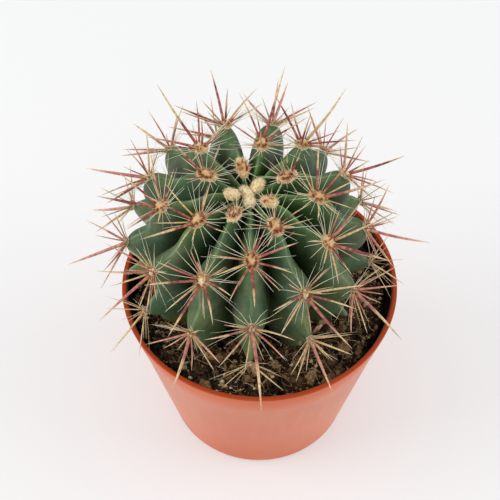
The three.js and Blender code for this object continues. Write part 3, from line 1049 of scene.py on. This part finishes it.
def add_bristles(bm, layer, spot, dice):
    """The fine white bristles of an areole."""
    old = smooth(spot.number, *old_ages)
    grown = smooth(spot.number, wool_tufts, wool_tufts + 9)
    size = pad_axes(spot)
    shed = 0.35 * smooth(spot.number, *first_shed) + 0.5 * smooth(spot.number, *last_shed)
    count = round(bristle_count * (0.5 + 0.5 * grown) * (1 - shed))
    for step in range(count):
        even = 2 * (step + 0.5 + dice.uniform(-0.4, 0.4)) / count - 1
        turn = pi + fan * (0.72 * even + 0.28 * even**3)
        lean = radians(dice.uniform(*bristle_leans))
        length = dice.uniform(*bristle_reach) * (0.35 + 0.65 * grown) * (0.8 + 0.3 * abs(sin(turn)))
        towards = spot.direction(lean, turn)
        root = spot.point(Vector((sin(turn) * size.x, cos(turn) * size.y, 0.2 * size.z)) * 0.8)
        tip = root + towards * length
        swing = towards.cross(spot.out) * length * dice.uniform(0.01, 0.03 + 0.03 * old)
        lift = spot.out * length * dice.uniform(-0.05, 0.08)
        waves = dice.uniform(0.3, 0.6 + 0.8 * old)
        phase = dice.uniform(0, tau)
        width = dice.uniform(*bristle_widths)
        wavy = lambda t: swing * sin(tau * waves * t + phase) * t + lift * t * t
        taper = lambda t: width * (1 - 0.8 * t)
        grow_rod(bm, layer, bristle_rod, root, tip, wavy, taper, (dice.random(), old))


print("A grown areole has", bristle_count, "bristles")

# %% [markdown]
# Every spray has its own seed, so a change to one leaves the others as they are.

# %% Grow the sprays
first_seed = 100

for spot in spots:
    dice = random.Random(first_seed + spot.number)
    spray_bm = bmesh.new()
    growth_layer = spray_bm.verts.layers.float_vector.new("growth")
    tips = spine_tips(spot)
    add_pad(spray_bm, growth_layer, spot, tips, dice)
    for rank, tip in enumerate(tips):
        add_spine(spray_bm, growth_layer, spot, rank, tip, dice)
    if not spot.is_tuft:
        add_bristles(spray_bm, growth_layer, spot, dice)
    spray = f"spray_{spot.number:02d}"
    finished(spray, spray_bm, [wool, horn, bristle], "spines_and_wool", spot.name)

# %% [markdown]
# ## The soil
#
# The plant is potted in peat mix: dark crumbs that clump together, tan fibres and a few pale grains
# of perlite. The body of the soil is one closed piece, spun like the pot, whose top is then pushed
# up and down by noise of several sizes. It sags towards the wall, and a small hollow is pressed
# into it at the front, where the loose bits are painted darker as painted shade. Loose crumbs,
# fibres and grains lie on it as pieces of their own, because a bumpy surface alone never shows
# their undersides and shadows.

# %% Heap the soil
soil_level = 68 * mm
soil_clearance = 0.3 * mm
soil_facets = 330
soil_rings = 105
heap_height = 1.5 * mm
heap_noises = ((0.9, 17 * mm, (0, 0, 0)), (0.75, 4.2 * mm, (7, 0, 0)), (0.5, 1.6 * mm, (0, 9, 0)))
edge_sag = 1.8 * mm
sag_width = 3.5 * mm
hollow_place = (6.3 * mm, -41 * mm)
hollow_size = (3.6 * mm, 5.5 * mm)
hollow_depth = 5 * mm


def hollow(x, y):
    """How deep in the hollow at the front of the soil a place is, from 0 outside it to 1."""
    across, along = ((v - centre) / size for v, centre, size in zip((x, y), hollow_place, hollow_size))
    return exp(-((across**2 + along**2) ** 2))


def soil_height(x, y):
    """The height of the soil's top, from broad swells down to small clumps."""
    place = Vector((x, y, 0))
    heap = sum(share * noise.noise(place / size + Vector(shift)) for share, size, shift in heap_noises)
    return soil_level + heap_height * heap - hollow_depth * hollow(x, y)


def soil_wall(height):
    return inner_radius(height) - soil_clearance


soil_edge = soil_wall(soil_level - 3 * mm)
soil_section = [(soil_edge * ring / soil_rings, soil_level) for ring in range(soil_rings + 1)]
soil_section += [
    (soil_wall(inside_base + soil_clearance), inside_base + soil_clearance),
    (soil_wall(inside_base) - base_edge, floor_thickness + soil_clearance),
    (0, floor_thickness + soil_clearance),
]
soil_bm = spun(soil_section, soil_facets)
for vert in soil_bm.verts:
    if vert.co.z > soil_level - 0.1 * mm:
        away = hypot(vert.co.x, vert.co.y)
        sag = edge_sag * smooth(away, soil_edge - sag_width, soil_edge)
        vert.co.z = soil_height(vert.co.x, vert.co.y) - sag
print("The soil is", round(2 * soil_edge / mm, 1), "mm across at its top")

# %% [markdown]
# The peat's colour goes from almost black in damp hollows to a warm brown where it has dried, with
# specks of lighter bark in it. Its crumbs go down to dust, and the bump stops at the 0.9 mm ones.

# %% Peat
# Moist milled peat: crumbs with open pores that swallow the light, so it is dark and fully matt.
peat, peat_shader = surface("moist_peat", {"Roughness": 0.95, "IOR": 1.4})
damp_stops = [(0.36, "#0B0502"), (0.5, "#2B1B10"), (0.62, "#523A24"), (0.75, "#7C5E3E")]
bark_tan = linear("#7A5F44")

place = add(peat, "TexCoord").outputs["Object"]
damp = add(peat, "TexNoise", {"Vector": place, "Scale": 1 / (7.69 * mm), "Detail": 5, "Roughness": 0.65})
damp_colour = add(peat, "ValToRGB", {"Fac": damp}, {"stops": damp_stops})
specks = add(peat, "TexVoronoi", {"Vector": place, "Scale": 1 / (1.11 * mm)})
speckled = washed(peat, damp_colour, bark_tan, specks, 0.22, 0.1, 0.5)
crumbly = add(peat, "TexNoise", {"Vector": place, "Scale": 1 / (0.909 * mm), "Detail": 5})
peat_bump = add(peat, "Bump", {"Height": crumbly, "Strength": 0.8, "Distance": 0.5 * mm})
wire(peat_shader, {"Base Color": speckled, "Normal": peat_bump})
tell(peat)
finished("potting_soil", soil_bm, [peat], "peat_soil", "soil")

# %% [markdown]
# ## Loose bits on the soil
#
# Crumbs, bark, grains and fibres get their colour from a tint kept on their vertices, so one material
# serves all of them. It runs from black peat over bark to perlite, with a strong mottle on each bit.

# %% Litter on the soil
# Crumbs of peat and bark, dried on top: porous and fully matt, each a little different in tone.
litter, litter_shader = surface("peat_crumbs", {"Roughness": 0.95, "IOR": 1.4})
crumb_stops = [
    (0.0, "#080402"),
    (0.25, "#2C1D12"),
    (0.55, "#694E33"),
    (0.78, "#987852"),
    (0.93, "#C8AC84"),
    (1.0, "#EDE0C4"),
]

place = add(litter, "TexCoord").outputs["Object"]
_, tint, _ = kept(litter, "growth")
crumb_colour = add(litter, "ValToRGB", {"Fac": tint}, {"stops": crumb_stops})
litter_noise = add(litter, "TexNoise", {"Vector": place, "Scale": 1 / (0.909 * mm), "Detail": 4})
litter_colour = toned(litter, crumb_colour, litter_noise, 0.3, 0.7, 0.35, 1.75)
wire(litter_shader, {"Base Color": litter_colour})
tell(litter)

# %% [markdown]
# A bit is a ball whose corners are pushed in and out by noise, then stretched and turned. The many
# small crumbs are coarse balls of twenty faces, and the fewer large clumps are finer balls.

# %% Lumps


def ball(name, subdivisions):
    """A ball of radius 1, as a mesh to copy."""
    bm = bmesh.new()
    bmesh.ops.create_icosphere(bm, subdivisions=subdivisions, radius=1)
    print(name, "has", len(bm.faces), "faces")
    return mesh_from(name, bm)


small_ball = ball("small_ball", 1)
middle_ball = ball("middle_ball", 2)
fine_ball = ball("fine_ball", 3)


def add_lump(bm, layer, template, centre, size, tint, dice, crags=0):
    """A rough lump: a ball whose corners are pushed in and out by noise, crags adding a finer one."""
    stretch = Matrix.Diagonal([size * dice.uniform(0.6, 1.25) for _ in range(3)])
    turn = Matrix.Rotation(dice.uniform(0, tau), 3, shaken(dice, 1))
    offset = Vector([dice.uniform(0, 90) for _ in range(3)])
    for vert in copied(bm, template):
        rough = 1 + 0.55 * noise.noise(vert.co * 1.7 + offset)
        rough += crags * noise.noise(vert.co * 5 + offset)
        vert.co = centre + turn @ (stretch @ (vert.co * rough))
        vert[layer] = (0, tint, 0)


# %% [markdown]
# The loose bits are strewn by seeded draws over the ring of soil that the stem leaves open. A place
# that the stem covers is drawn again. In the hollow the bits are smaller, and are painted darker as
# painted shade.

# %% Strew the litter
litter_ring = (20 * mm, soil_edge - 0.8 * mm)


def strewn(dice):
    """A random place on the open ring of soil."""
    inner, outer = litter_ring
    away = sqrt(dice.uniform(inner**2, outer**2))
    around = dice.uniform(0, tau)
    return away * cos(around), away * sin(around)


def stem_covers(x, y, height):
    """Whether a point lies inside the stem."""
    local = stem_place.inverted() @ Vector((x, y, height))
    down = atan2(hypot(local.x, local.y), local.z)
    return local.length < rib_shape(down, atan2(local.x, -local.y))[0] - 0.5 * mm


def litter_piece(name, grow, seed, count):
    """A piece of loose bits: grow(bm, layer, x, y, z, dice) adds one at each place."""
    dice = random.Random(seed)
    bm = bmesh.new()
    layer = bm.verts.layers.float_vector.new("growth")
    made = 0
    while made < count:
        x, y = strewn(dice)
        z = soil_height(x, y)
        if not stem_covers(x, y, z + 0.5 * mm):
            grow(bm, layer, x, y, z, dice)
            made += 1
    finished(name, bm, [litter], "peat_soil")


def grow_crumb(bm, layer, x, y, z, dice):
    size = (0.28 + 0.9 * dice.random() ** 3) * mm
    # Painted shade: in the hollow the crumb's tint is darkened.
    tint = dice.random() ** 1.7 * 0.95 * (1 - 0.8 * hollow(x, y))
    add_lump(bm, layer, small_ball, Vector((x, y, z + 0.3 * size)), size, tint, dice)


def grow_clump(bm, layer, x, y, z, dice):
    size = (0.8 + 1.9 * dice.random() ** 1.6) * mm * (1 - 0.5 * hollow(x, y))
    # Painted shade: in the hollow the clump's tint is darkened.
    tint = dice.uniform(0.2, 0.82) * (1 - 0.8 * hollow(x, y))
    add_lump(bm, layer, fine_ball, Vector((x, y, z)), size, tint, dice, crags=0.5)


def grow_grain(bm, layer, x, y, z, dice):
    size = (0.25 + 0.6 * dice.random() ** 2) * mm
    tint = dice.uniform(0.9, 1.0)
    add_lump(bm, layer, middle_ball, Vector((x, y, z + 0.6 * size)), size, tint, dice)


def grow_fibre(bm, layer, x, y, z, dice):
    around = dice.uniform(0, tau)
    length = (2 + 9 * dice.random() ** 1.5) * mm
    root = Vector((x, y, z + 0.3 * mm))
    rise = dice.uniform(-0.05, 0.25)
    tip = root + Vector((cos(around), sin(around), rise)).normalized() * length
    if hypot(tip.x, tip.y) > soil_edge - 1 * mm:
        tip = root - (tip - root)
    tip.z = max(tip.z, soil_height(tip.x, tip.y) + 0.2 * mm)
    curl = Vector([dice.uniform(-0.25, 0.25) for _ in range(2)] + [dice.uniform(0, 0.15)]) * length
    width = (0.07 + 0.17 * dice.random() ** 2) * mm
    # Painted shade: in the hollow the fibre's tint is darkened.
    tint = dice.uniform(0.45, 0.97) * (1 - 0.6 * hollow(x, y))
    taper = lambda t: width * (1 - 0.5 * t)
    grow_rod(bm, layer, bristle_rod, root, tip, lambda t: curl * sin(pi * t), taper, (tint, 0))


litter_piece("soil_crumbs", grow_crumb, 11, 5600)
litter_piece("soil_clumps", grow_clump, 12, 260)
litter_piece("perlite_grains", grow_grain, 13, 150)
litter_piece("peat_fibres", grow_fibre, 14, 1000)

# %% [markdown]
# A few bits are large enough to be seen one by one: a rounded pinkish stone, a pale granule, a
# weathered lump of bark near the front and some light grains. Their places are listed one by one.

# %% The stone and the larger bits
# Quartz gravel, worn round in water: dull all over, with paler and pinker clouds in it.
quartz, quartz_shader = surface("pink_quartz", {"Roughness": 0.6, "IOR": 1.54})
quartz_stops = [(0.35, "#A9826C"), (0.5, "#C7A28A"), (0.65, "#DDBFA6")]
place = add(quartz, "TexCoord").outputs["Object"]
quartz_noise = add(quartz, "TexNoise", {"Vector": place, "Scale": 1 / (1.11 * mm), "Detail": 3})
quartz_colour = add(quartz, "ValToRGB", {"Fac": quartz_noise}, {"stops": quartz_stops})
wire(quartz_shader, {"Base Color": quartz_colour})
tell(quartz)

stone = (21.8, -16.0, 1.8, 1)  # x and y and radius in mm, and tint, as for the larger bits
larger_bits = {
    "granule": (4.5, -36.0, 1.0, 0.95),
    "bark": (-20.2, -41.2, 1.9, 0.7),
    "left_grain": (-25.8, -37.8, 0.7, 0.98),
    "front_grain": (-14.0, -39.9, 0.9, 0.97),
    "rim_grain": (-10.6, -42.5, 0.6, 1.0),
    "foot_grain": (-43.3, -11.5, 0.9, 0.99),
}


def bits_piece(name, bits, material, dice):
    """A piece of bits at given places, each sunk a little into the soil."""
    bm = bmesh.new()
    layer = bm.verts.layers.float_vector.new("growth")
    for x, y, radius, tint in bits:
        size = radius * mm
        centre = Vector((x * mm, y * mm, soil_height(x * mm, y * mm) + 0.6 * size))
        add_lump(bm, layer, fine_ball, centre, size, tint, dice)
    finished(name, bm, [material], "peat_soil")


bits_dice = random.Random(15)
bits_piece("pink_stone", [stone], quartz, bits_dice)
bits_piece("larger_bits", larger_bits.values(), litter, bits_dice)
